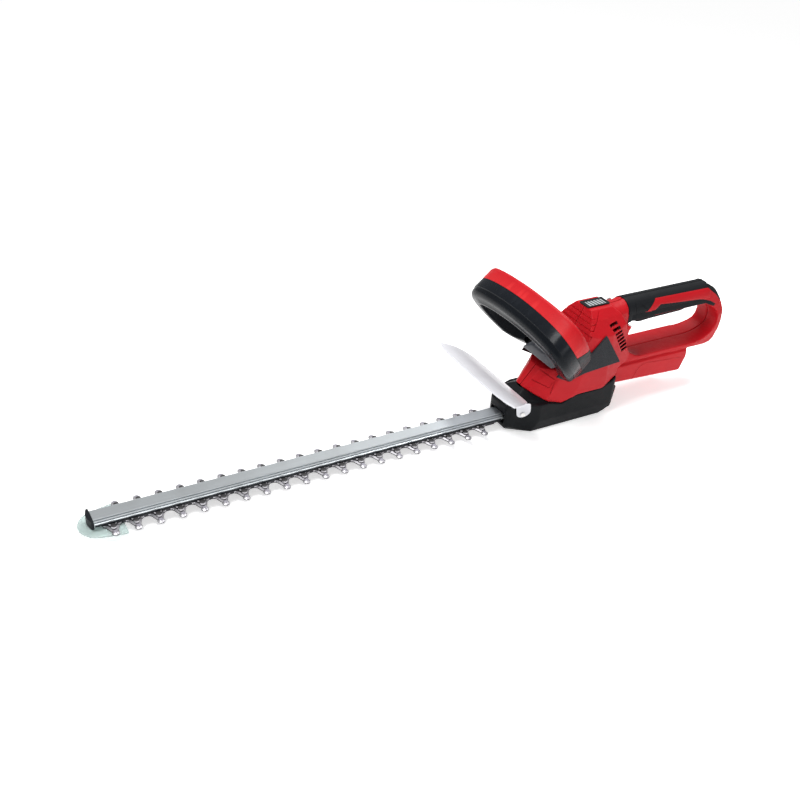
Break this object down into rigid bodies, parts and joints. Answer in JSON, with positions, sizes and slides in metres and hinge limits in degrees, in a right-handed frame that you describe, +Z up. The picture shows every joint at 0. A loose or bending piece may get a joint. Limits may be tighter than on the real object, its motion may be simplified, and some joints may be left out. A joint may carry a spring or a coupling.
{
  "type": "cordless hedge trimmer",
  "caption": "Hedge trimmer with a long double-sided reciprocating cutter bar, a leaning loop handle, a closed rear handle and a clear hand guard.",
  "frame": {"origin": "on the flat underside of the gear case's base cover, straight below the drive gear's axis", "axes": "+X along the cutter bar towards its tip, +Y to the tool's left, +Z up"},
  "size_m": [0.9409, 0.209, 0.203],
  "materials": {
    "red_plastic": "fine-grained satin",
    "black_plastic": "fine-grained satin",
    "soft_grip": "soft matt overmould",
    "grey_plastic": "satin",
    "clear_plastic": "clear, slightly hazy plastic",
    "blade_steel": "ground",
    "aluminium": "satin",
    "zinc_steel": "zinc plated",
    "copper": "copper, lacquered",
    "circuit_board": "solder resist"
  },
  "bodies": {
    "housing": {"left_housing": "red_plastic", "right_housing": "red_plastic", "left_side_panel": "black_plastic", "right_side_panel": "black_plastic", "left_grip": "soft_grip", "right_grip": "soft_grip", "gear_case": "black_plastic", "base_cover": "black_plastic", "gearbox_bracket": "aluminium", "front_handle_cover": "black_plastic", "front_handle_frame": "red_plastic", "hand_guard": "clear_plastic", "guard_screw_left": "zinc_steel", "guard_screw_right": "zinc_steel", "housing_screw_1": "zinc_steel", "housing_screw_2": "zinc_steel", "housing_screw_3": "zinc_steel", "housing_screw_4": "zinc_steel", "housing_screw_5": "zinc_steel", "guide_bar": "aluminium", "bar_bolt_1": "zinc_steel", "bar_bolt_2": "zinc_steel", "bar_bolt_3": "zinc_steel", "bar_bolt_4": "zinc_steel", "bar_bolt_5": "zinc_steel", "bar_end_cap": "black_plastic", "tip_guard": "clear_plastic", "tip_screw": "zinc_steel", "upper_bearing": "blade_steel", "lower_bearing": "blade_steel", "base_screw_1": "zinc_steel", "base_screw_2": "zinc_steel", "base_screw_3": "zinc_steel", "base_screw_4": "zinc_steel", "motor_can": "zinc_steel", "motor_magnet_left": "grey_plastic", "motor_magnet_right": "grey_plastic", "motor_end_bell": "black_plastic", "controller_board": "circuit_board", "battery_terminal_block": "black_plastic", "battery_terminal_left": "copper", "battery_terminal_right": "copper", "indicator_frame": "black_plastic", "indicator_window": "clear_plastic", "trigger_pin": "zinc_steel", "trigger_spring": "zinc_steel", "rear_switch": "black_plastic", "front_lever_pin": "zinc_steel", "front_lever_spring": "zinc_steel", "front_switch": "black_plastic"},
    "drive": {"drive_gear": "zinc_steel", "gear_shaft": "blade_steel"},
    "rotor": {"motor_rotor": "copper", "pinion": "blade_steel", "cooling_fan": "black_plastic"},
    "upper_blade": {"upper_blade": "blade_steel"},
    "lower_blade": {"lower_blade": "blade_steel"},
    "rear_trigger": {"trigger": "black_plastic"},
    "front_lever": {"front_switch_lever": "grey_plastic"}
  },
  "joints": [
    {"name": "gear_turn", "type": "hinge", "parent": "housing", "child": "drive", "pos_m": [0, 0, 0.02], "axis": [0, 0, 1], "range_deg": [-90, 90]},
    {"name": "rotor_turn", "type": "hinge", "parent": "housing", "child": "rotor", "pos_m": [-0.0324, 0, 0.06], "axis": [0, 0, 1], "range_deg": [-450.5, 450.5]},
    {"name": "upper_slide", "type": "slide", "parent": "housing", "child": "upper_blade", "axis": [1, 0, 0], "range_m": [-0.0066, 0.0066]},
    {"name": "lower_slide", "type": "slide", "parent": "housing", "child": "lower_blade", "axis": [1, 0, 0], "range_m": [-0.0066, 0.0066]},
    {"name": "trigger_pivot", "type": "hinge", "parent": "housing", "child": "rear_trigger", "pos_m": [-0.124, 0, 0.131], "axis": [0, 1, 0], "range_deg": [0, 5], "stiffness_Nm_per_rad": 1.2, "springref_deg": -14.32, "deforming": ["trigger_spring"]},
    {"name": "front_lever_pivot", "type": "hinge", "parent": "housing", "child": "front_lever", "pos_m": [0.002, 0, 0.1], "axis": [0, 1, 0], "range_deg": [0, 4], "stiffness_Nm_per_rad": 1.2, "springref_deg": -14.32, "deforming": ["front_lever_spring"]}
  ],
  "couplings": [
    {"joint": "rotor_turn", "follows": "gear_turn", "ratio": -5},
    {"joint": "upper_slide", "follows": "gear_turn", "m_per_rad": 0.004138},
    {"joint": "lower_slide", "follows": "gear_turn", "m_per_rad": -0.004138}
  ]
}
